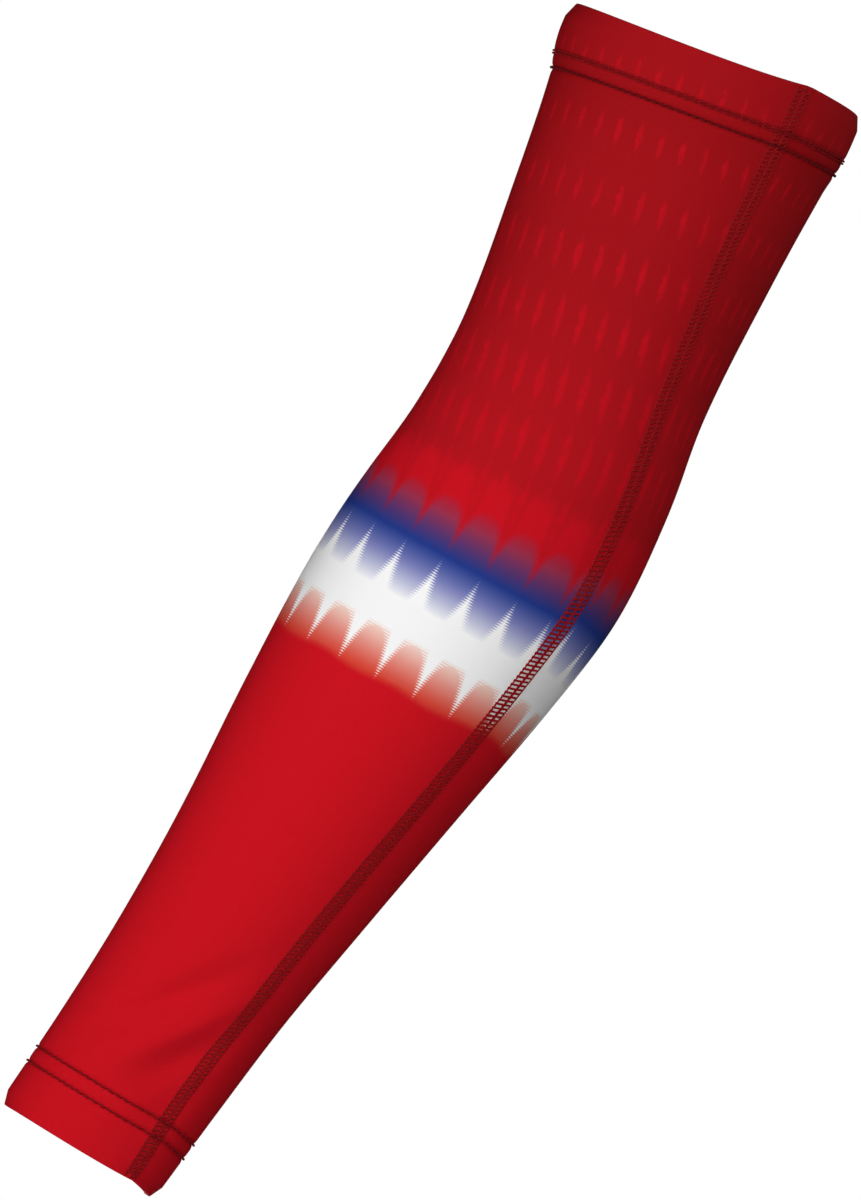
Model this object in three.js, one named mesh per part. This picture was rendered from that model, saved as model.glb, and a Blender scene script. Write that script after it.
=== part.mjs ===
// A knitted compression sleeve for one arm, filled out as if worn, open at the upper arm and at the wrist.
// Millimetres, +Z up the upper arm. The origin is the centre of the upper-arm opening, +X points to the
// back of the elbow and -Y to the front of the sleeve.
import * as THREE from "three";

// Cloth, and the clearance kept between separate pieces
const clothWall = 1.0;
const pieceGap = 0.3;
const edgeSlit = 0.4; // between the panel's two long edges, under the seam

// Arm line: a straight upper arm, a bend at the elbow and a straight forearm
const sleeveLength = 423.5;
const elbowStart = 130.7;
const elbowRadius = 300;
const elbowBend = THREE.MathUtils.degToRad(10.4);

// Rims: each rim climbs towards the seam once the taper is sewn up, and the cloth's rows climb with it,
// alike in front and at the back. A row for the upper rim, its hem and the wrist rim: climb is the rise in
// all, drop is how far below its own station the climb starts, and before and beyond are the powers of the
// climb's curve on the two sides of its peak.
const climbs = [
  { reach: 0, climb: 5.6, drop: 0.95, before: 4, beyond: 1.35 },
  { reach: 15, climb: 6.7, drop: 2.05, before: 2, beyond: 0.35 },
  { reach: sleeveLength, climb: 3.8, drop: 1.1, before: 2, beyond: 2 },
];
const climbPeak = 2.5; // of the highest place, from the seam's middle towards +X
const rimTuck = 1.75; // how far the rim is drawn in at its two sides
const rimTuckReach = 4.9;

// Hems: the cloth folds over at the rim and turns in
const hemDepth = 24;
const foldCap = 2; // from the rim to where the outer layer starts as its own piece
const foldRound = 0.4;

// Flatlock seam: a flat sewn band with rounded shoulders
const seamWidth = 6;
const seamThickness = 0.7;
const seamShoulder = 1.1; // width of each rounded shoulder
const shoulderInset = 0.3; // of the shoulder's corner, from the band's side
const shoulderRise = 0.5; // of the shoulder's corner, above the band's foot
const seamEndInset = 0.6; // from the rim to the band's end

// Fineness of the faceted surface
const ringSteps = 40;
const foldCornerSteps = 2;
const hemRowStep = 6;
const bodyRowStep = 13;

// Outline of the worn sleeve, a row for each station along the arm line.
// shift moves the section's middle towards +X, width is seen from the front, depth from the side, and seam is
// the seam's angle from the front line towards +X.
const outline = [
  { station: -4, shift: -0.6, width: 104.5, depth: 89, seam: 35.5 },
  { station: 10, shift: -0.6, width: 105, depth: 90, seam: 35.2 },
  { station: 18, shift: -0.5, width: 103, depth: 88.5, seam: 35 },
  { station: 26, shift: -0.1, width: 99.5, depth: 85.5, seam: 35.3 },
  { station: 60, shift: 0.1, width: 93.3, depth: 79, seam: 36.8 },
  { station: 110, shift: 0.5, width: 87.6, depth: 74, seam: 41 },
  { station: 145, shift: 0.6, width: 92.3, depth: 76.5, seam: 43 },
  { station: 180, shift: 0.4, width: 97.6, depth: 80, seam: 45 },
  { station: 215, shift: -0.3, width: 94.8, depth: 79, seam: 45.5 },
  { station: 260, shift: -0.2, width: 85.2, depth: 72, seam: 44.4 },
  { station: 310, shift: 0.6, width: 73.3, depth: 61.5, seam: 40.5 },
  { station: 350, shift: 0.5, width: 65.9, depth: 53.5, seam: 39.3 },
  { station: 385, shift: 0.4, width: 62.7, depth: 49.5, seam: 37.2 },
  { station: 426, shift: -0.1, width: 60.8, depth: 47.5, seam: 40.4 },
];

// Soft folds above the wrist, a row for each shallow valley. reach and angle place its middle, run and
// spread are its half length and half width, and lean turns it off the arm line towards -X.
const folds = [
  { reach: 362, angle: -4, run: 24, spread: 5, depth: 2, lean: 36 },
  { reach: 382, angle: 19, run: 18, spread: 6, depth: 2, lean: 36 },
];

const printedKnit = new THREE.MeshStandardMaterial({ color: 0xb81420, roughness: 0.82, metalness: 0 });
const seamThread = new THREE.MeshStandardMaterial({ color: 0x741018, roughness: 0.7, metalness: 0 });

// Smooth curve through one column of the outline table
function outlineAt(station, column) {
  const last = outline.length - 1;
  const place = THREE.MathUtils.clamp(station, outline[0].station, outline[last].station);
  const after = Math.max(1, outline.findIndex((row) => row.station >= place));
  const before = after - 1;
  const slope = (index) => {
    const low = outline[Math.max(0, index - 1)];
    const high = outline[Math.min(last, index + 1)];
    return (high[column] - low[column]) / (high.station - low.station);
  };
  const span = outline[after].station - outline[before].station;
  const t = (place - outline[before].station) / span;
  const ease = t * t * (3 - 2 * t);
  const leave = t * (1 - t) * (1 - t) * span * slope(before);
  const arrive = t * t * (1 - t) * span * slope(after);
  return THREE.MathUtils.lerp(outline[before][column], outline[after][column], ease) + leave - arrive;
}

// Point of the arm line, and the direction square to it in the plane of the bend
function armLine(station) {
  const turned = THREE.MathUtils.clamp((station - elbowStart) / elbowRadius, 0, elbowBend);
  const straightBefore = Math.min(station, elbowStart);
  const straightAfter = Math.max(0, station - elbowStart - elbowRadius * elbowBend);
  const sin = Math.sin(turned);
  const cos = Math.cos(turned);
  const centre = new THREE.Vector3(
    -elbowRadius * (1 - cos) - straightAfter * sin,
    0,
    -straightBefore - elbowRadius * sin - straightAfter * cos,
  );
  return { centre, across: new THREE.Vector3(cos, 0, -sin) };
}

// Depth of the soft folds at one place on the cloth
function foldDepth(reach, angle, radius) {
  let total = 0;
  for (const fold of folds) {
    const around = THREE.MathUtils.degToRad(angle - fold.angle) * radius;
    const down = reach - fold.reach;
    const lean = THREE.MathUtils.degToRad(fold.lean);
    const along = down * Math.cos(lean) - around * Math.sin(lean);
    const aside = down * Math.sin(lean) + around * Math.cos(lean);
    total += fold.depth * Math.exp(-((along / fold.run) ** 2) - (aside / fold.spread) ** 2);
  }
  return total;
}

// Straight line through one column of the climbs table
function climbAt(reach, column) {
  const after = reach < climbs[1].reach ? 1 : 2;
  const [low, high] = [climbs[after - 1], climbs[after]];
  return THREE.MathUtils.mapLinear(reach, low.reach, high.reach, low[column], high[column]);
}

// Station of a line that lies at one distance from the upper rim, measured along the cloth.
// turn is the share of the way round from the seam.
function stationOf(turn, reach) {
  const seam = outlineAt(reach, "seam");
  const around = THREE.MathUtils.euclideanModulo(seam + 360 * turn + 90, 360) - 90;
  const inFront = around > 90 ? 180 - around : around; // the same place across, on the front of the sleeve
  const fromPeak = (inFront - seam) / 360 - climbPeak / girthAt(reach);
  const curve = climbAt(reach, fromPeak > 0 ? "beyond" : "before");
  return reach + climbAt(reach, "drop") - climbAt(reach, "climb") * (1 - 2 * Math.abs(fromPeak)) ** curve;
}

function girthAt(station) {
  return (Math.PI * (outlineAt(station, "width") + outlineAt(station, "depth"))) / 2;
}

// Point on the cloth: lift is the distance out from its outer face, and less than 0 inside the wall
function clothPoint(turn, reach, lift) {
  const station = stationOf(turn, reach);
  const shift = outlineAt(station, "shift");
  const halfWidth = outlineAt(station, "width") / 2;
  const halfDepth = outlineAt(station, "depth") / 2;
  const angle = outlineAt(station, "seam") + 360 * turn;
  const radians = THREE.MathUtils.degToRad(angle);
  const sin = Math.sin(radians);
  const cos = Math.cos(radians);
  const outward = new THREE.Vector2(sin / halfWidth, -cos / halfDepth).normalize();
  const toRim = Math.min(reach, sleeveLength - reach);
  const tuck = rimTuck * sin ** 4 * Math.max(0, 1 - toRim / rimTuckReach);
  const frontAngle = THREE.MathUtils.euclideanModulo(angle + 180, 360) - 180;
  const out = lift - tuck - foldDepth(reach, frontAngle, halfWidth);
  const { centre, across } = armLine(station);
  return centre
    .addScaledVector(across, shift + halfWidth * sin + outward.x * out)
    .add(new THREE.Vector3(0, -halfDepth * cos + outward.y * out, 0));
}

// Closed solid swept through equal sections. A looped sweep joins its last section to its first. An open
// one has an end face at both ends, a strip between the first and second half of the section's corners.
function sweptSolid(sections, looped) {
  const size = sections[0].length;
  const faces = [];
  const spans = looped ? sections.length : sections.length - 1;
  for (let span = 0; span < spans; span += 1) {
    const here = span * size;
    const next = ((span + 1) % sections.length) * size;
    for (let corner = 0; corner < size; corner += 1) {
      const side = (corner + 1) % size;
      faces.push(here + corner, next + corner, next + side);
      faces.push(here + corner, next + side, here + side);
    }
  }
  if (!looped) {
    const end = (sections.length - 1) * size;
    for (let corner = 0; corner < size / 2 - 1; corner += 1) {
      const far = size - 1 - corner;
      faces.push(corner, corner + 1, far - 1);
      faces.push(corner, far - 1, far);
      faces.push(end + corner, end + far - 1, end + corner + 1);
      faces.push(end + corner, end + far, end + far - 1);
    }
  }
  const geometry = new THREE.BufferGeometry();
  geometry.setFromPoints(sections.flat());
  geometry.setIndex(faces);
  geometry.computeVertexNormals();
  return geometry;
}

// Even steps between two distances, ends included
function evenSteps(start, end, step) {
  const count = Math.max(1, Math.round(Math.abs(end - start) / step));
  return Array.from({ length: count + 1 }, (_, index) => THREE.MathUtils.lerp(start, end, index / count));
}

// Distances down the cloth where it has a row of corners, closer where the rims are drawn in and turned
function clothRows() {
  const hemEnd = hemDepth + hemRowStep;
  const upper = [foldCap, ...evenSteps(rimTuckReach, hemEnd, hemRowStep)];
  const wrist = upper.map((distance) => sleeveLength - distance).reverse();
  const between = evenSteps(hemEnd, sleeveLength - hemEnd, bodyRowStep).slice(1, -1);
  return [...upper, ...between, ...wrist];
}

// Panel: inner face down the arm and outer face back up, carried round from one long edge to the other
function makePanel() {
  const rows = clothRows();
  const inner = rows.map((reach) => new THREE.Vector2(reach, -clothWall));
  const outer = rows.map((reach) => new THREE.Vector2(reach, 0)).reverse();
  const section = [...inner, ...outer];
  const sweep = evenSteps(0, 1, 1 / ringSteps).map((share) =>
    section.map(({ x: reach, y: lift }) => {
      const edge = edgeSlit / 2 / girthAt(reach);
      return clothPoint(THREE.MathUtils.lerp(edge, 1 - edge, share), reach, lift);
    }),
  );
  return sweptSolid(sweep, false);
}

// Hem: a rounded fold over the rim and an inner layer behind the panel. fromRim turns a distance from this
// hem's rim into a distance from the upper rim, and flipped keeps the faces out where that runs upwards.
function makeHem(fromRim, flipped) {
  const innerBack = -(2 * clothWall + pieceGap);
  const innerFront = -(clothWall + pieceGap);
  const capEdge = foldCap - pieceGap;
  const layerRows = [foldCap, ...evenSteps(rimTuckReach, hemDepth, hemRowStep)];
  const quarter = new THREE.Path().absarc(foldRound, -foldRound, foldRound, Math.PI / 2, Math.PI, false);
  const outerCorner = quarter.getPoints(foldCornerSteps);
  const innerCorner = outerCorner.map(({ x, y }) => new THREE.Vector2(x, innerBack - y)).reverse();
  const section = [
    new THREE.Vector2(capEdge, 0),
    ...outerCorner,
    ...innerCorner,
    ...layerRows.map((reach) => new THREE.Vector2(reach, innerBack)),
    ...layerRows.map((reach) => new THREE.Vector2(reach, innerFront)).reverse(),
    new THREE.Vector2(capEdge, innerFront),
  ];
  const ordered = flipped ? section.reverse() : section;
  const turns = evenSteps(0, 1, 1 / ringSteps).slice(0, -1);
  const sweep = turns.map((turn) => ordered.map(({ x, y: lift }) => clothPoint(turn, fromRim(x), lift)));
  return sweptSolid(sweep, true);
}

// Seam: a flat band with rounded shoulders that lies on the cloth from rim to rim
function makeSeam() {
  const half = seamWidth / 2;
  const rows = [seamEndInset, ...clothRows(), sleeveLength - seamEndInset].reverse();
  const sweep = rows.map((reach) => {
    const girth = girthAt(reach);
    const foot = pieceGap + (half * half * Math.PI) / girth; // the flat underside clears the round of the arm
    const top = foot + seamThickness;
    const profile = [
      { side: half, lift: foot },
      { side: half - shoulderInset, lift: foot + shoulderRise },
      { side: half - seamShoulder, lift: top },
    ];
    const mirrored = profile.map(({ side, lift }) => ({ side: -side, lift })).reverse();
    return [...profile, ...mirrored].map(({ side, lift }) => clothPoint(side / girth, reach, lift));
  });
  return sweptSolid(sweep, false);
}

const fromUpperRim = (distance) => distance;
const fromWristRim = (distance) => sleeveLength - distance;

const pieces = [
  { name: "sleeve_panel", geometry: makePanel(), material: printedKnit },
  { name: "upper_hem", geometry: makeHem(fromUpperRim, false), material: printedKnit },
  { name: "wrist_hem", geometry: makeHem(fromWristRim, true), material: printedKnit },
  { name: "flatlock_seam", geometry: makeSeam(), material: seamThread },
];

const sleeve = new THREE.Group();
for (const { name, geometry, material } of pieces) {
  const mesh = new THREE.Mesh(geometry, material);
  mesh.name = name;
  sleeve.add(mesh);
}

export default sleeve;
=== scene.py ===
from math import cos, pi, radians, sin

import bpy
import numpy as np
from mathutils import Matrix, Vector


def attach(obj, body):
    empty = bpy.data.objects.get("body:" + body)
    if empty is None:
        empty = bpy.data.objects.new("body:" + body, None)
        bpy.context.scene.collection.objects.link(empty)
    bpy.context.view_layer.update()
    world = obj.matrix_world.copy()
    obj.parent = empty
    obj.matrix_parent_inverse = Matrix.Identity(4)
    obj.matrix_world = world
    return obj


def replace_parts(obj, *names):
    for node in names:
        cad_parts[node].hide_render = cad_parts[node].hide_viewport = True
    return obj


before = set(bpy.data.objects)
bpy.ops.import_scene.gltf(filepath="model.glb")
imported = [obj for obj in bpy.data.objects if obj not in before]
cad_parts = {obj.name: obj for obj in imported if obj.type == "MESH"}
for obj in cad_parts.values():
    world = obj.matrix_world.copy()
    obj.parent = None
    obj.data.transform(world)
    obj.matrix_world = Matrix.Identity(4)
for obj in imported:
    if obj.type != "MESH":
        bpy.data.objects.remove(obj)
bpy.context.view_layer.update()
print("frame loaded")


# Form of the worn sleeve, in millimetres and degrees

sleeve = {
    "length": 423.5,
    "elbowStart": 130.7,
    "elbowRadius": 300,
    "elbowBend": radians(10.4),
    # how the cloth's rows climb towards the seam: reach, climb, drop,
    # and the powers of the curve before and beyond its peak
    "climbs": [(0, 5.6, 0.95, 4, 1.35), (15, 6.7, 2.05, 2, 0.35), (423.5, 3.8, 1.1, 2, 2)],
    "climbPeak": 2.5,           # from the seam's middle
    "rimTuck": 1.75,            # at the two sides
    "rimTuckReach": 4.9,
    "wall": 1.0,
    "roll": 1.15,               # depth of each layer of the fold at the rims
    "corner": 0.35,
    "hemDepth": 24,
    # station down the arm, sideways shift, width, depth, angle of the seam
    "sections": [
        (-4, -0.6, 104.5, 89, 35.5),
        (10, -0.6, 105, 90, 35.2),
        (18, -0.5, 103, 88.5, 35),
        (26, -0.1, 99.5, 85.5, 35.3),
        (60, 0.1, 93.3, 79, 36.8),
        (110, 0.5, 87.6, 74, 41),
        (145, 0.6, 92.3, 76.5, 43),
        (180, 0.4, 97.6, 80, 45),
        (215, -0.3, 94.8, 79, 45.5),
        (260, -0.2, 85.2, 72, 44.4),
        (310, 0.6, 73.3, 61.5, 40.5),
        (350, 0.5, 65.9, 53.5, 39.3),
        (385, 0.4, 62.7, 49.5, 37.2),
        (426, -0.1, 60.8, 47.5, 40.4),
    ],
    # reach, angle from the front, run, spread, depth, lean
    "folds": [
        (362, -4, 24, 5, 2, 36),
        (371, 12, 22, 3.5, -0.9, 34),
        (382, 19, 18, 6, 2, 36),
        (391, 18, 14, 8, 0.9, 36),
        (399, 30, 15, 8, 1.2, 25),
    ],
    # reach, depth and half width of the dent that each row of hem stitches pulls
    "rows": [
        (17.4, 0.35, 1.1),
        (22.5, 0.5, 1.1),
        (401.1, 0.45, 0.9),
        (406.8, 0.45, 0.9),
    ],
}
length = sleeve["length"]
sections = np.array(sleeve["sections"], float)
shiftColumn, widthColumn, depthColumn, seamColumn = 1, 2, 3, 4


def sectionAt(station, column):   # a smooth curve through one column of the sections
    spots, values = sections[:, 0], sections[:, column]
    steps = np.diff(values) / np.diff(spots)
    middle = (values[2:] - values[:-2]) / (spots[2:] - spots[:-2])
    slopes = np.concatenate([steps[:1], middle, steps[-1:]])
    station = np.clip(station, spots[0], spots[-1])
    after = np.clip(np.searchsorted(spots, station), 1, len(spots) - 1)
    span = spots[after] - spots[after - 1]
    t = (station - spots[after - 1]) / span
    ease = t * t * (3 - 2 * t)
    leave = t * (1 - t) ** 2 * span * slopes[after - 1]
    arrive = t * t * (1 - t) * span * slopes[after]
    return values[after - 1] * (1 - ease) + values[after] * ease + leave - arrive


def girthAt(reach):   # length round an oval, by a close formula
    a, b = sectionAt(reach, widthColumn) / 2, sectionAt(reach, depthColumn) / 2
    return pi * (3 * (a + b) - np.sqrt((3 * a + b) * (a + 3 * b)))


def placeOf(turn, reach):   # station down the arm and angle from the front, in degrees
    spots, *columns = zip(*sleeve["climbs"])
    climb, drop, before, beyond = (np.interp(reach, spots, column) for column in columns)
    seamAngle = sectionAt(reach, seamColumn)
    around = (seamAngle + 360 * turn + 90) % 360 - 90
    inFront = np.where(around > 90, 180 - around, around)   # the back climbs as the front does
    fromPeak = (inFront - seamAngle) / 360 - sleeve["climbPeak"] / girthAt(reach)
    power = np.where(fromPeak > 0, beyond, before)
    station = reach + drop - climb * (1 - 2 * np.abs(fromPeak)) ** power
    return station, sectionAt(station, seamColumn) + 360 * turn


def foldDepth(reach, angle, radius):
    total = 0
    for foldReach, foldAngle, run, spread, depth, lean in sleeve["folds"]:
        around = np.radians(angle - foldAngle) * radius
        down = reach - foldReach
        along = down * cos(radians(lean)) - around * sin(radians(lean))
        aside = down * sin(radians(lean)) + around * cos(radians(lean))
        total = total + depth * np.exp(-(along / run) ** 2 - (aside / spread) ** 2)
    return total


def clothPoints(turn, reach, lift, dented=False):
    turn, reach, lift = np.broadcast_arrays(np.asarray(turn, float), reach, lift)
    station, angle = placeOf(turn, reach)
    start, radius, bend = (sleeve[key] for key in ("elbowStart", "elbowRadius", "elbowBend"))
    turned = np.clip((station - start) / radius, 0, bend)
    after = np.maximum(0, station - start - radius * bend)
    centreX = -radius * (1 - np.cos(turned)) - after * np.sin(turned)
    centreZ = -np.minimum(station, start) - radius * np.sin(turned) - after * np.cos(turned)
    halfWidth, halfDepth = sectionAt(station, widthColumn) / 2, sectionAt(station, depthColumn) / 2
    sine, cosine = np.sin(np.radians(angle)), np.cos(np.radians(angle))
    slope = np.hypot(sine / halfWidth, cosine / halfDepth)
    outX, outY = sine / halfWidth / slope, -cosine / halfDepth / slope
    toRim = np.minimum(reach, length - reach)
    out = lift - sleeve["rimTuck"] * sine ** 4 * np.maximum(0, 1 - toRim / sleeve["rimTuckReach"])
    out = out - foldDepth(reach, (angle + 180) % 360 - 180, halfWidth)
    if dented:
        for row, depth, half in sleeve["rows"]:
            out = out - depth * np.exp(-((reach - row) / half) ** 2)
    across = sectionAt(station, shiftColumn) + halfWidth * sine + outX * out
    return np.stack([centreX + np.cos(turned) * across,
                     -halfDepth * cosine + outY * out,
                     centreZ - np.sin(turned) * across], axis=-1)


# Shader nodes written as sums

def maths(operation, reflected=False):
    def method(self, *others):
        values = (*others, self) if reflected else (self, *others)
        return self.graph.put("ShaderNodeMath", {"operation": operation}, dict(enumerate(values)))
    return method


class Wire:
    def __init__(self, graph, socket):
        self.graph, self.socket = graph, socket

    __add__, __radd__ = maths("ADD"), maths("ADD", reflected=True)
    __sub__, __rsub__ = maths("SUBTRACT"), maths("SUBTRACT", reflected=True)
    __mul__, __rmul__ = maths("MULTIPLY"), maths("MULTIPLY", reflected=True)
    __truediv__, __rtruediv__ = maths("DIVIDE"), maths("DIVIDE", reflected=True)
    __pow__, __rpow__ = maths("POWER"), maths("POWER", reflected=True)
    __abs__ = maths("ABSOLUTE")
    fract = maths("FRACT")
    round = maths("ROUND")
    sine = maths("SINE")
    least = maths("MINIMUM")
    most = maths("MAXIMUM")

    def step(self, low, high, kind="SMOOTHSTEP"):   # 0 at low, 1 at high
        return self.graph.put("ShaderNodeMapRange", {"interpolation_type": kind},
                              {"Value": self, "From Min": low, "From Max": high})

    def toward(self, first, second):   # colour from first to second as this goes from 0 to 1
        return self.graph.mixed(self, first, second)


class Graph:
    def __init__(self, tree):
        self.tree = tree
        tree.nodes.clear()

    def put(self, kind, settings, inputs, output=0):
        node = self.tree.nodes.new(kind)
        for key, value in settings.items():
            setattr(node, key, value)
        for key, value in inputs.items():
            if isinstance(value, Wire):
                self.tree.links.new(value.socket, node.inputs[key])
            else:
                node.inputs[key].default_value = value
        return Wire(self, node.outputs[output]) if node.outputs else None

    def mixed(self, share, first, second):   # sockets go by number, because their names repeat
        return self.put("ShaderNodeMix", {"data_type": "RGBA"}, {0: share, 6: first, 7: second}, 2)

    def mapped(self, name):   # a piece's map as one vector and as its two coordinates
        both = self.put("ShaderNodeUVMap", {"uv_map": name}, {})
        return both, *(self.put("ShaderNodeSeparateXYZ", {}, {0: both}, axis) for axis in (0, 1))


def newMaterial(name):
    material = bpy.data.materials.new(name)
    material.use_nodes = True
    return material, Graph(material.node_tree)


# Printed stretch knit

inks = {   # red, green and blue as seen on a screen
    "darkRed": (155, 23, 29),
    # the darker red for the band just below the upper hem is painted shade, where the cloth narrows under
    # the hem
    "hemShadeRed": (149, 22, 27),
    "midRed": (170, 24, 32),
    "tick": (191, 22, 34),
    "bandRed": (192, 23, 35),
    "red": (195, 24, 35),
    "plum": (144, 50, 76),
    "blue": (38, 57, 130),
    "lilac": (113, 118, 174),
    "white": (240, 240, 240),
    "blush": (238, 222, 211),
    "salmon": (204, 65, 52),
    "bareKnit": (222, 214, 213),
}
inks = {name: (red / 255, green / 255, blue / 255, 1) for name, (red, green, blue) in inks.items()}
screenGamma = 2.2
pattern = {   # lengths in millimetres down the sleeve, widths of teeth as shares of a column
    "column": 15,               # its width on the print, before that is pulled over the arm
    "tickFirst": 14.35,
    "tickStep": 21.45,
    "tickHalf": (5, 1.3),       # half length and width in the first row, and what each row below adds
    "tickGrow": (1.1, 0.12),
    "tickStray": (3, 0.2),      # how far noise moves a tick along, and aside in half columns
    "tickPower": 1.3,
    "tickSoft": (0, 0.9),
    "tickInk": (0.5, 0.03),     # strength in the first row, and what each row below adds
    # where the painted shade below the upper hem fades in, and where it fades out
    "hemShadeFades": ((15, 19), (22, 50)),
    "midFade": (70, 158),
    "darkTeeth": {
        "span": (159, 182), "width": 0.42, "sides": (-0.25, 0.22), "ink": 0.65,
        "start": (-3.5, 4), "stray": 5},
    "redTeeth": {
        "span": (169, 183.4), "slim": 0.45, "flare": 5, "sides": (-0.3, 0.25), "start": 4},
    "spikesUp": {
        "span": (193.5, 209.8), "slim": 0.6, "flare": 40, "sides": (-0.12, 0.12), "feet": 0.4},
    "spikesDown": {
        "span": (220.8, 237.2), "slim": 0.52, "flare": 12, "sides": (-0.09, 0.09), "feet": 1},
    "footWidth": 1.15,
    "fades": {
        "plum": (169.5, 177.8), "blue": (177.8, 189.8), "lilac": (190.1, 198), "white": (198, 210)},
    "salmonFade": (219.5, 236.2),
    "redFrom": 237.3,
    "redWave": 0.5,
    "redSoft": 1.7,
    "halftone": 0.9,            # makes combs of the white spikes
    "combSoft": (-0.7, 0.1),
    "combCut": 4.5,
}
knit = {
    "wale": 0.625,
    "course": 0.5,
    "loopLean": 0.4,
    "loopHeight": 0.4,
    "depth": 0.00012,           # in metres
    "strength": 0.12,
    "roughness": 0.85,
    "specular": 0.04,
    "noiseScale": 0.3,
    "ghost": 0.2,               # print that shows through on the unprinted face
}


def toothEdge(height, teeth):   # half width of a tooth, 0 at its tip and all across at its foot
    flare = height.most(0).least(1) ** teeth["flare"]
    return height.least(1) * teeth["slim"] + flare * (pattern["footWidth"] - teeth["slim"])


def printColour(u, v, wobble):
    p = pattern
    column = u / p["column"]
    off = abs((column + 0.5).fract() - 0.5) * 2   # 0 on a column of teeth, 1 between two
    cut = (v * (2 * pi / p["halftone"])).sine().step(*p["combSoft"]) * p["combCut"]

    row = ((v - p["tickFirst"]) / p["tickStep"]).round().most(0)
    halfLength, halfWidth = (row * grow + half for half, grow in zip(p["tickHalf"], p["tickGrow"]))
    strayAlong, strayAside = p["tickStray"]
    along = (v - p["tickFirst"] - row * p["tickStep"] + wobble * strayAlong) / halfLength
    aside = abs((column * 2 + wobble * strayAside + 0.5).fract() - 0.5) * (p["column"] / 2) / halfWidth
    firstInk, moreInk = p["tickInk"]
    tick = (1 - along * along - aside ** p["tickPower"]).step(*p["tickSoft"])
    tick = tick * (wobble + row * moreInk + firstInk)
    # painted shade: the ground darkens in a band just below the upper hem's stitch rows, where the cloth
    # narrows
    hemShadeIn, hemShadeOut = (v.step(*span) for span in p["hemShadeFades"])
    ground = (hemShadeIn - hemShadeOut).toward(inks["darkRed"], inks["hemShadeRed"])
    ground = v.step(*p["midFade"]).toward(ground, inks["midRed"])
    ground = tick.toward(ground, inks["tick"])

    teeth = p["darkTeeth"]
    low, high = teeth["span"]
    wedge = ((high - v) / (high - low) * teeth["width"] - off).step(*teeth["sides"])
    start = (v - low + wobble * teeth["stray"]).step(*teeth["start"])
    ground = (start * (1 - wedge * teeth["ink"])).toward(ground, inks["bandRed"])

    fade = inks["bandRed"]
    for ink, span in p["fades"].items():
        fade = v.step(*span, "LINEAR").toward(fade, inks[ink])
    teeth = p["redTeeth"]
    low, high = teeth["span"]
    gap = (off - toothEdge((high - v) / (high - low), teeth)).step(*teeth["sides"])
    band = (gap * v.step(low, low + teeth["start"])).toward(ground, fade)
    teeth = p["spikesUp"]
    low, high = teeth["span"]
    spike = (toothEdge((v - cut - low) / (high - low), teeth) - off).step(*teeth["sides"])
    joined = v.step(high - teeth["feet"], high + teeth["feet"])
    band = spike.most(joined).toward(band, inks["white"])

    teeth = p["spikesDown"]
    low, high = teeth["span"]
    lower = v.step(*p["salmonFade"], "LINEAR").toward(inks["blush"], inks["salmon"])
    spike = (toothEdge((high - v - cut) / (high - low), teeth) - off).step(*teeth["sides"])
    lower = spike.toward(lower, inks["white"])
    edge = (column * pi).sine() * p["redWave"] + p["redFrom"]
    lower = (v - edge).step(-p["redSoft"], p["redSoft"]).toward(lower, inks["red"])
    return v.step(low - teeth["feet"], low + teeth["feet"]).toward(band, lower)


def knitMaterial(name, ghost):
    material, graph = newMaterial(name)
    place, u, v = graph.mapped("clothMap")
    noise = graph.put("ShaderNodeTexNoise", {"noise_dimensions": "2D"},
                      {"Vector": place, "Scale": knit["noiseScale"]})
    colour = printColour(u, v, noise - 0.5)
    if ghost:
        colour = graph.mixed(ghost, inks["bareKnit"], colour)
    colour = graph.put("ShaderNodeGamma", {}, {"Color": colour, "Gamma": screenGamma})
    side = abs((u / knit["wale"]).fract() - 0.5) * 2
    course = ((v / knit["course"] + side * knit["loopLean"]) * (2 * pi)).sine()
    loops = 1 - side * side + course * knit["loopHeight"]
    bump = graph.put("ShaderNodeBump", {}, {
        "Strength": knit["strength"], "Distance": knit["depth"], "Height": loops})
    cloth = graph.put("ShaderNodeBsdfPrincipled", {}, {
        "Base Color": colour, "Roughness": knit["roughness"], "Normal": bump,
        "Specular IOR Level": knit["specular"]})
    graph.put("ShaderNodeOutputMaterial", {}, {"Surface": cloth})
    return material


thread = {
    # painted shade: each thread's colour is darker in the grooves between its plies and lighter on them
    "shades": {   # between the plies and on them
        "seam_thread": ((0.22, 0.006, 0.008, 1), (0.33, 0.008, 0.011, 1)),
        "hem_thread": ((0.15, 0.006, 0.008, 1), (0.28, 0.008, 0.011, 1)),
        "hem_edge_thread": ((0.09, 0.004, 0.005, 1), (0.14, 0.005, 0.007, 1)),
        "wrist_thread": ((0.17, 0.006, 0.008, 1), (0.22, 0.007, 0.009, 1)),
    },
    "plies": 2,
    "twist": 1.1,
    "depth": 0.0001,            # in metres
    "strength": 0.3,
    "roughness": 0.75,
    "specular": 0.05,
}


def threadMaterial(name, shades):
    material, graph = newMaterial(name)
    around, along = graph.mapped("threadMap")[1:]
    plies = ((around + along / thread["twist"]) * (2 * pi * thread["plies"])).sine() * 0.5 + 0.5
    bump = graph.put("ShaderNodeBump", {}, {
        "Strength": thread["strength"], "Distance": thread["depth"], "Height": plies})
    # the base colour follows the ply bump, darker in the grooves between plies as painted shade
    strand = graph.put("ShaderNodeBsdfPrincipled", {}, {
        "Base Color": plies.toward(*shades), "Roughness": thread["roughness"], "Normal": bump,
        "Specular IOR Level": thread["specular"]})
    graph.put("ShaderNodeOutputMaterial", {}, {"Surface": strand})
    return material


printedKnit = knitMaterial("knit_face", 0)
innerKnit = knitMaterial("knit_inside", knit["ghost"])
threads = {name: threadMaterial(name, shades) for name, shades in thread["shades"].items()}
print("materials made")


# Pieces

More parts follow.
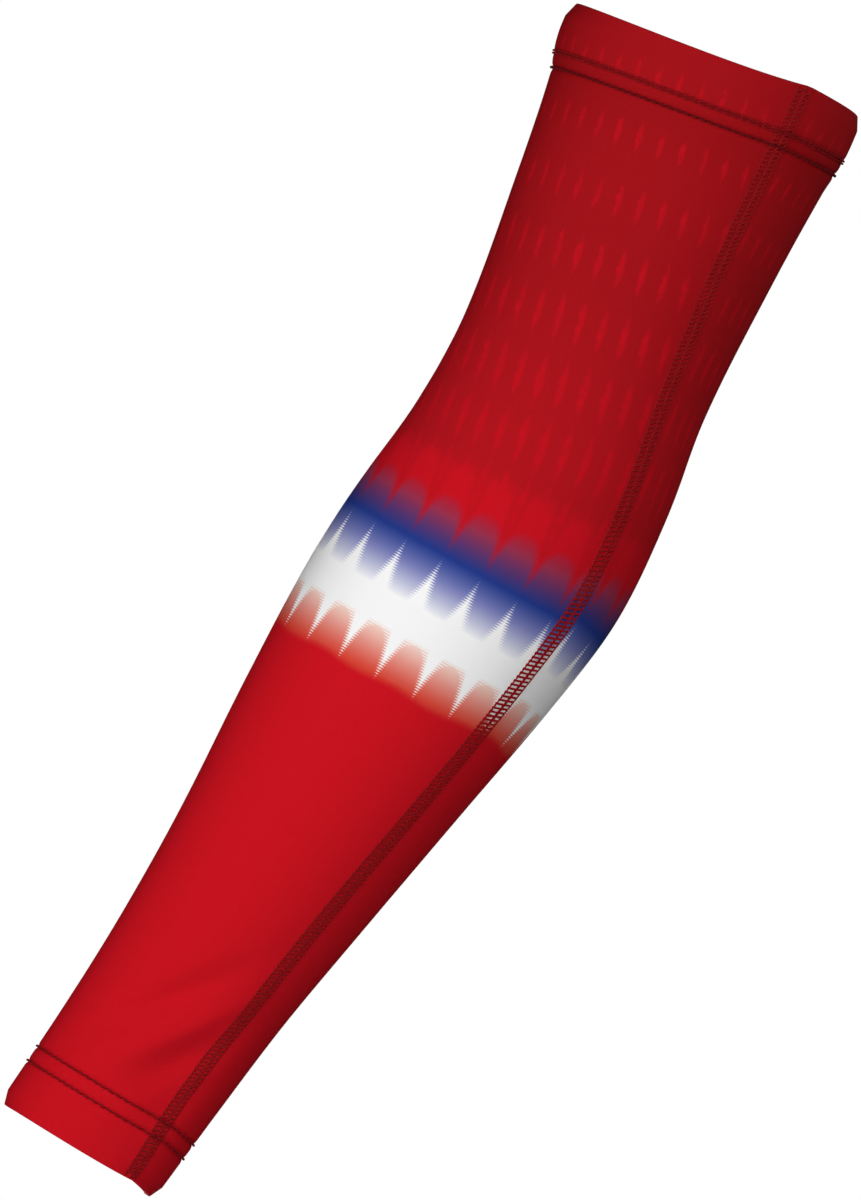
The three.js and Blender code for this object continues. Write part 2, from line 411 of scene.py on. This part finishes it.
def addPiece(name, points, faces, mapName, mapping, materials, faceMaterials):
    mesh = bpy.data.meshes.new(name)
    mesh.from_pydata((points / 1000).tolist(), [], faces)
    layer = mesh.uv_layers.new(name=mapName)
    layer.data.foreach_set("uv", np.ascontiguousarray(mapping, np.float32).ravel())
    mesh.polygons.foreach_set("use_smooth", np.ones(len(mesh.polygons), bool))
    for material in materials:
        mesh.materials.append(material)
    mesh.polygons.foreach_set("material_index", np.asarray(faceMaterials, np.int32))
    mesh.update()
    piece = bpy.data.objects.new(name, mesh)
    bpy.context.scene.collection.objects.link(piece)
    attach(piece, "root")
    print(name, "made:", sum(len(face) - 2 for face in faces), "triangles")
    return piece


lay = {   # how the print lies on the arm
    "pitch": (15.35, 14.4),     # from one column to the next, above and below the elbow
    "pitchChange": (145, 175),
    "start": -17.5,             # a column's distance from the front line, and how it leans and sways
    "lean": 0.107,
    "sway": 0.6,
    "swayMiddle": 115,
    "swayTurn": 0.033,
    "backPitch": (15.35, 12.2),     # the same behind the seam, measured from the seam
    "backStart": (17.7, 20.2),
    "backLean": -0.08,
    "columnsRound": 17,
    "tilt": 0.04,               # the band climbs to the right, and more so behind the seam
    "tiltFrom": -34,
    "backClimb": (1.2, 5.6, 3.4),
    "climbChange": (158, 185, 240),
}


def laidPrint(fromFront, fromSeam, lap, down):   # where each point of the cloth is on the print
    pitch, backPitch, backStart = (
        np.interp(down, lay["pitchChange"], lay[key]) for key in ("pitch", "backPitch", "backStart"))
    sway = lay["sway"] * np.sin((down - lay["swayMiddle"]) * lay["swayTurn"])
    front = (fromFront - lay["start"] - lay["lean"] * down - sway) / pitch
    back = (fromSeam - backStart - lay["backLean"] * down) / backPitch - lay["columnsRound"]
    tilt = np.interp(down, lay["climbChange"][:2], (0, lay["tilt"]))
    climb = lap * np.interp(down, lay["climbChange"], lay["backClimb"])
    climb = climb + tilt * np.maximum(fromFront, lay["tiltFrom"])
    return np.stack([(front + lap * (back - front)) * pattern["column"], down + climb], axis=-1)


clothColumns = 168
leftEdge, frontLine = 270, 360   # degrees round from the front, by way of the right and the back


# a closed section, carried once round the arm, with the faces between two of its rows unprinted
def sweepCloth(name, reach, lift, mapV, unprinted, dented):
    turns = np.arange(clothColumns + 1) / clothColumns
    points = clothPoints(turns[:clothColumns, None], reach, lift, dented)
    flat = clothPoints(turns[:, None], reach, 0)
    steps = np.linalg.norm(np.diff(flat, axis=0), axis=2)
    size = len(reach)
    run = np.vstack([np.zeros(size), np.cumsum(steps, axis=0)])
    angle = placeOf(turns[:, None], reach)[1]
    front = np.array([np.interp(frontLine, angle[:, j], run[:, j]) for j in range(size)])
    lap = np.clip((leftEdge - angle) / (leftEdge - angle[0]), 0, 1)   # 1 behind the seam
    mapUv = laidPrint(run - front, run, lap, mapV)
    i, j = np.meshgrid(np.arange(clothColumns), np.arange(size), indexing="ij")
    nextI, nextJ = (i + 1) % clothColumns, (j + 1) % size
    faces = np.stack([i * size + j, i * size + nextJ, nextI * size + nextJ, nextI * size + j], axis=-1)
    corners = np.stack([mapUv[i, j], mapUv[i, nextJ], mapUv[i + 1, nextJ], mapUv[i + 1, j]], axis=2)
    inside = (j >= unprinted[0]) & (j < unprinted[1])
    return addPiece(name, points.reshape(-1, 3), faces.reshape(-1, 4).tolist(),
                    "clothMap", corners.reshape(-1, 2), [printedKnit, innerKnit], inside.ravel())


def spaced(*spans):   # rows of points: start, end and step of each span
    rows = []
    for start, end, step in spans:
        count = round((end - start) / step)
        rows.append(np.arange(count) * (end - start) / count + start)
    return np.concatenate(rows)


roll, wall, hemDepth, corner = (sleeve[key] for key in ("roll", "wall", "hemDepth", "corner"))
tucked = sleeve["rimTuckReach"]
quarter = np.radians(np.linspace(0, 90, 4))
cornerReach, cornerDrop = corner * (1 - np.cos(quarter)), corner * (1 - np.sin(quarter))

panelRows = {   # steps between rows of points, and where they change, measured from the nearer rim
    "rimStep": 1,
    "stitchStep": 0.4,
    "rowStep": 2.3,
    "foldStep": 1.5,
    "insideStep": 5,
    "stitches": (15, 25),
    "plainFrom": 33,
    "foldsFrom": 100,
}
rimStep, stitchStep, rowStep, foldStep = (
    panelRows[key] for key in ("rimStep", "stitchStep", "rowStep", "foldStep"))
stitchFrom, stitchTo = panelRows["stitches"]
plainFrom, plainTo = panelRows["plainFrom"], length - panelRows["foldsFrom"]
outerRows = spaced(
    (corner, tucked, rimStep), (tucked, stitchFrom, rimStep), (stitchFrom, stitchTo, stitchStep),
    (stitchTo, plainFrom, rimStep), (plainFrom, plainTo, rowStep), (plainTo, length - stitchTo, foldStep),
    (length - stitchTo, length - stitchFrom, stitchStep), (length - stitchFrom, length - tucked, rimStep),
    (length - tucked, length - corner, rimStep))
innerRows = spaced((length - roll, roll, -panelRows["insideStep"]))
panelReach = np.concatenate([
    [0], cornerReach, outerRows[1:], length - cornerReach[::-1],
    [length, length - wall], innerRows, [roll, wall]])
panelLift = np.concatenate([
    [-roll], -cornerDrop, np.zeros(len(outerRows) - 1), -cornerDrop[::-1],
    [-roll, -roll], np.full(len(innerRows), -wall), [-wall, -roll]])
outerCount = 2 * len(quarter) + len(outerRows)
panel = sweepCloth(
    "printed_panel", panelReach, panelLift, panelReach, (outerCount, len(panelReach)), True)
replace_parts(panel, "sleeve_panel")

hemForm = {"rimStep": 1.5, "rowStep": 1.6, "lastRow": 0.5, "cutEdge": 0.3, "gap": 0.02}


def hemBand(name, node, atWrist):
    edge, gap = hemForm["cutEdge"], hemForm["gap"]
    rows = spaced((corner, tucked, hemForm["rimStep"]),
                  (tucked, hemDepth - hemForm["lastRow"], hemForm["rowStep"]))
    under = 2 * roll + gap
    reach = np.concatenate([
        [0], cornerReach, rows[1:], [hemDepth - edge, hemDepth, hemDepth, hemDepth - edge],
        rows[:1:-1], [roll, wall]])
    lift = np.concatenate([
        [-roll - gap], -under + cornerDrop, np.full(len(rows) - 1, -under),
        [-under, -under + edge, -under + wall - edge, -under + wall],
        np.full(len(rows) - 1, -under + wall), [-roll - gap]])
    printed = len(quarter) + len(rows) + 1
    if atWrist:
        reach, mapV = length - reach, length + reach
        unprinted = (printed, len(reach) - 1)
    else:   # in the other order, so that the faces look outward
        reach, lift, mapV = reach[::-1], lift[::-1], -reach[::-1]
        unprinted = (1, len(reach) - printed)
    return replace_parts(sweepCloth(name, reach, lift, mapV, unprinted, False), node)


upperHem = hemBand("upper_hem_band", "upper_hem", False)
wristHem = hemBand("wrist_hem_band", "wrist_hem", True)


# Threads

def strands(centres, outward, radii, flat=1.0, sides=7):   # along paths of points, round or pressed flat
    count, steps = centres.shape[:2]
    ahead = np.gradient(centres, axis=1)
    ahead /= np.linalg.norm(ahead, axis=2, keepdims=True)
    across = np.cross(ahead, outward)
    across /= np.linalg.norm(across, axis=2, keepdims=True)
    above = np.cross(across, ahead) * flat
    turn = np.arange(sides) * 2 * pi / sides
    radii = np.broadcast_to(radii, (count, steps))[:, :, None, None]
    ring = across[:, :, None] * np.cos(turn)[:, None] + above[:, :, None] * np.sin(turn)[:, None]
    points = centres[:, :, None] + radii * ring
    lengths = np.linalg.norm(np.diff(centres, axis=1), axis=2)
    run = np.concatenate([np.zeros((count, 1)), np.cumsum(lengths, axis=1)], axis=1)
    k, i, j = np.meshgrid(np.arange(count), np.arange(steps - 1), np.arange(sides), indexing="ij")
    around = ((0, 0), (0, 1), (1, 1), (1, 0))   # the corners of a face
    faces = np.stack([(k * steps + i + di) * sides + (j + dj) % sides for di, dj in around], axis=-1)
    faceMap = np.stack(
        [np.stack([(j + dj) / sides, run[k, i + di]], axis=-1) for di, dj in around], axis=-2)
    starts = np.arange(count)[:, None] * steps * sides
    first = starts + np.arange(sides)[::-1]
    last = starts + (steps - 1) * sides + np.arange(sides)
    caps = np.concatenate([first, last])
    capAround = np.broadcast_to(np.arange(sides) / sides, caps.shape)
    capMap = np.stack([capAround, np.zeros(caps.shape)], axis=-1)
    mapping = np.concatenate([faceMap.reshape(-1, 2), capMap.reshape(-1, 2)])
    return points.reshape(-1, 3), faces.reshape(-1, 4).tolist() + caps.tolist(), mapping


def threadPiece(name, parts):   # parts are pairs of a thread's name and strands
    kinds = list(dict.fromkeys(kind for kind, strand in parts))
    points, faces, mapping, which, offset = [], [], [], [], 0
    for kind, (partPoints, partFaces, partMap) in parts:
        points.append(partPoints)
        faces += [[offset + spot for spot in face] for face in partFaces]
        mapping.append(partMap)
        which += [kinds.index(kind)] * len(partFaces)
        offset += len(partPoints)
    return addPiece(name, np.concatenate(points), faces,
                    "threadMap", np.concatenate(mapping), [threads[kind] for kind in kinds], which)


def onCloth(turn, reach, lift):   # points above the cloth and the directions outward from it
    base = clothPoints(turn, reach, lift)
    outward = clothPoints(turn, reach, lift + 1) - base
    return base, outward / np.linalg.norm(outward, axis=-1, keepdims=True)


seam = {
    "pitch": 1.63,
    "slant": 0.27,
    "knotSide": -2.75,          # from the seam's middle
    "railSide": 0.45,
    "edgeSide": 2.95,
    "rung": 0.4,                # half widths of the strands
    "rail": 0.36,
    "edge": 0.3,
    "knot": 0.36,
    "flat": 0.6,
    "taper": (0.55, 0.92, 1, 1, 0.92, 0.55),
    "rungLift": (0.18, 0.06),   # height at the ends of a strand, and what its middle adds
    "railLift": (0.16, 0.05),
    "edgeLift": 0.15,
    "loopSides": (0.4, 0.05),   # a loop of the rail starts on one side of it and ends on the other
    "loopRun": (-0.3, 1.7),
    "knotHalf": (0.1, 0.5),     # half width and half length of a knot
    "edgeInset": 0.3,           # from the knots to the edge strand beside them
    "edgePoints": 900,
    "endInset": 1.2,
    "rimInset": 0.6,
    # how wide the seam is along the sleeve, as shares of the widest
    "widths": ((0, 0.92), (120, 0.92), (190, 1), (260, 1), (380, 0.78), (424, 0.8)),
}
stitchCount = int((length - 2 * seam["endInset"]) / seam["pitch"])
stitch = seam["endInset"] + (np.arange(stitchCount)[:, None] + 0.5) * seam["pitch"]
taper = np.array(seam["taper"])
alongStrand = np.linspace(0, 1, len(taper))
seamFrom, seamTo = seam["rimInset"], length - seam["rimInset"]


def besideSeam(side, reach, lift, radius):
    side = side * np.interp(reach, *zip(*seam["widths"]))
    return strands(*onCloth(side / girthAt(reach), reach, lift), radius, seam["flat"])


def seamStrands(sides, reaches, lifts, radius):   # one strand in each stitch
    reach = np.clip(stitch + reaches[0] + (reaches[1] - reaches[0]) * alongStrand, seamFrom, seamTo)
    side = sides[0] + (sides[1] - sides[0]) * alongStrand
    return besideSeam(side, reach, lifts[0] + lifts[1] * np.sin(pi * alongStrand), radius * taper)


def seamEdge(side):   # one strand from rim to rim
    reach = np.linspace(seamFrom, seamTo, seam["edgePoints"])[None]
    return besideSeam(side, reach, seam["edgeLift"], seam["edge"])


knotSide, railSide, edgeSide = (seam[key] for key in ("knotSide", "railSide", "edgeSide"))
half = seam["pitch"] / 2
leftRise = seam["slant"] * (railSide - knotSide) / 2
rightRise = seam["slant"] * (edgeSide - railSide) / 2
loopOut, loopIn = seam["loopSides"]
loopFrom, loopTo = seam["loopRun"]
knotWidth, knotRun = seam["knotHalf"]
rungLift, railLift = seam["rungLift"], seam["railLift"]
seamParts = [
    seamStrands((knotSide, railSide), (leftRise, -leftRise), rungLift, seam["rung"]),
    seamStrands((railSide, edgeSide), (half + rightRise, half - rightRise), rungLift, seam["rung"]),
    seamStrands((railSide - loopOut, railSide + loopIn), (loopFrom, loopTo), railLift, seam["rail"]),
    seamStrands((railSide + loopOut, railSide - loopIn), (half + loopFrom, half + loopTo),
                railLift, seam["rail"]),
    seamStrands((knotSide - knotWidth, knotSide + knotWidth), (leftRise - knotRun, leftRise + knotRun),
                rungLift, seam["knot"]),
    seamEdge(knotSide + seam["edgeInset"]),
    seamEdge(railSide),
    seamEdge(edgeSide),
]
seamPiece = threadPiece("flatlock_threads", [("seam_thread", part) for part in seamParts])
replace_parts(seamPiece, "flatlock_seam")

hemStitch = {
    "pitch": 2.7,
    "gap": 0.04,                # at each end of a stitch, as a share of the pitch
    "slant": 0.3,
    "lift": 0.28,
    "sink": 0.5,                # at the ends of a stitch
    "overSeam": 0.75,
    "seamHalf": 3.6,
    "taper": (0.6, 0.92, 1, 1, 1, 1, 0.92, 0.6),
    "twinHalf": 0.45,           # the upper row is two close rows
    "twin": 0.24,               # radii of the strands
    "hemEdge": 0.36,
    "wrist": 0.3,
}


def hemRow(row, radius):
    h = hemStitch
    girth = girthAt(row)
    count = round(girth / h["pitch"])
    share = np.linspace(0, 1, len(h["taper"]))
    turn = (np.arange(count)[:, None] + h["gap"] + (1 - 2 * h["gap"]) * share) / count
    turn = (turn + 0.5) % 1 - 0.5
    reach = row + h["slant"] * (share - 0.5) + 0 * turn
    overSeam = h["overSeam"] / (1 + (turn * girth / h["seamHalf"]) ** 8)
    lift = h["lift"] - h["sink"] * (2 * share - 1) ** 4 + overSeam
    return strands(*onCloth(turn, reach, lift), radius * np.array(h["taper"]))


upperRow, edgeRow, *wristRows = (row for row, depth, halfWidth in sleeve["rows"])
upperStitches = threadPiece("upper_hem_stitches", [
    ("hem_thread", hemRow(upperRow - hemStitch["twinHalf"], hemStitch["twin"])),
    ("hem_thread", hemRow(upperRow + hemStitch["twinHalf"], hemStitch["twin"])),
    ("hem_edge_thread", hemRow(edgeRow, hemStitch["hemEdge"]))])
wristStitches = threadPiece("wrist_hem_stitches", [
    ("wrist_thread", hemRow(row, hemStitch["wrist"])) for row in wristRows])


# Stage: pale floor, soft light, and the camera where the photo's was

photo = {
    "tilt": radians(24),
    "target": (-0.0148, 0, -0.203),
    "distance": 10,
    "height": 0.4,              # shown from top to bottom, in a plane in front of the target
    "frontHalf": 0.025,         # from the target to that plane
    "sensor": 36,
    "farthest": 60,
}
studio = {
    "floorDrop": 0.85,
    "floorRadius": 6,
    "floorSides": 96,
    "floorColour": (0.8, 0.8, 0.8, 1),
    "floorRoughness": 0.9,
    "floorGlow": 0.9,           # seen by the camera, but not cast on the sleeve
    "floorGlowShare": 0.75,
    "ambient": 0.008,
    "backdrop": 1,
    "stripSize": (0.2, 1.6),
    "stripDistance": 0.8,
    # upright strip lights: degrees round from the camera towards +X,
    # metres above the sleeve's middle, and watts
    "strips": {
        "key_strip": (-38, 0, 5.3),
        "front_strip": (9, 0.45, 5.6),
        "side_strip": (115, 1.1, 3.5),
        "back_strip": (180, 0, 7),
    },
}
white = (1, 1, 1, 1)
scene = bpy.context.scene
target = Vector(photo["target"])
right = Vector((cos(photo["tilt"]), 0, sin(photo["tilt"])))
up = Vector((-sin(photo["tilt"]), 0, cos(photo["tilt"])))
toCamera = Vector((0, -1, 0))
upright = Vector((0, 0, 1))


def facing(place, x, y, z):
    return Matrix.Translation(place) @ Matrix((x, y, z)).transposed().to_4x4()


cameraData = bpy.data.cameras.new("camera")
cameraData.sensor_width = photo["sensor"]
cameraData.lens = photo["sensor"] * (photo["distance"] - photo["frontHalf"]) / photo["height"]
cameraData.clip_end = photo["farthest"]
camera = bpy.data.objects.new("camera", cameraData)
camera.matrix_world = facing(target + toCamera * photo["distance"], right, up, toCamera)
scene.collection.objects.link(camera)
scene.camera = camera

for name, (degrees, raised, watts) in studio["strips"].items():
    lamp = bpy.data.lights.new(name, "AREA")
    lamp.shape = "RECTANGLE"
    lamp.size, lamp.size_y = studio["stripSize"]
    lamp.energy = watts
    direction = Vector((sin(radians(degrees)), -cos(radians(degrees)), 0))
    place = target + direction * studio["stripDistance"] + upright * raised
    light = bpy.data.objects.new(name, lamp)
    light.matrix_world = facing(place, upright.cross(direction), upright, direction)
    light.visible_camera = False
    scene.collection.objects.link(light)

bpy.ops.mesh.primitive_circle_add(vertices=studio["floorSides"], radius=studio["floorRadius"],
                                  fill_type="NGON", location=(0, 0, -studio["floorDrop"]))
floor = bpy.context.object
floor.name = "floor"
pale, graph = newMaterial("pale_floor")
seen = graph.put("ShaderNodeLightPath", {}, {}, "Is Camera Ray")
matt = graph.put("ShaderNodeBsdfPrincipled", {}, {
    "Base Color": studio["floorColour"], "Roughness": studio["floorRoughness"]})
lit = graph.put("ShaderNodeEmission", {}, {"Strength": studio["floorGlow"]})
surface = graph.put("ShaderNodeMixShader", {}, {0: seen * studio["floorGlowShare"], 1: matt, 2: lit})
graph.put("ShaderNodeOutputMaterial", {}, {"Surface": surface})
floor.data.materials.append(pale)

world = bpy.data.worlds.new("studio")
world.use_nodes = True
scene.world = world
graph = Graph(world.node_tree)
seen = graph.put("ShaderNodeLightPath", {}, {}, "Is Camera Ray")
ambient = graph.put("ShaderNodeBackground", {}, {"Color": white, "Strength": studio["ambient"]})
backdrop = graph.put("ShaderNodeBackground", {}, {"Color": white, "Strength": studio["backdrop"]})
surround = graph.put("ShaderNodeMixShader", {}, {0: seen, 1: ambient, 2: backdrop})
graph.put("ShaderNodeOutputWorld", {}, {"Surface": surround})
scene.view_settings.view_transform = "Standard"
print("stage set")
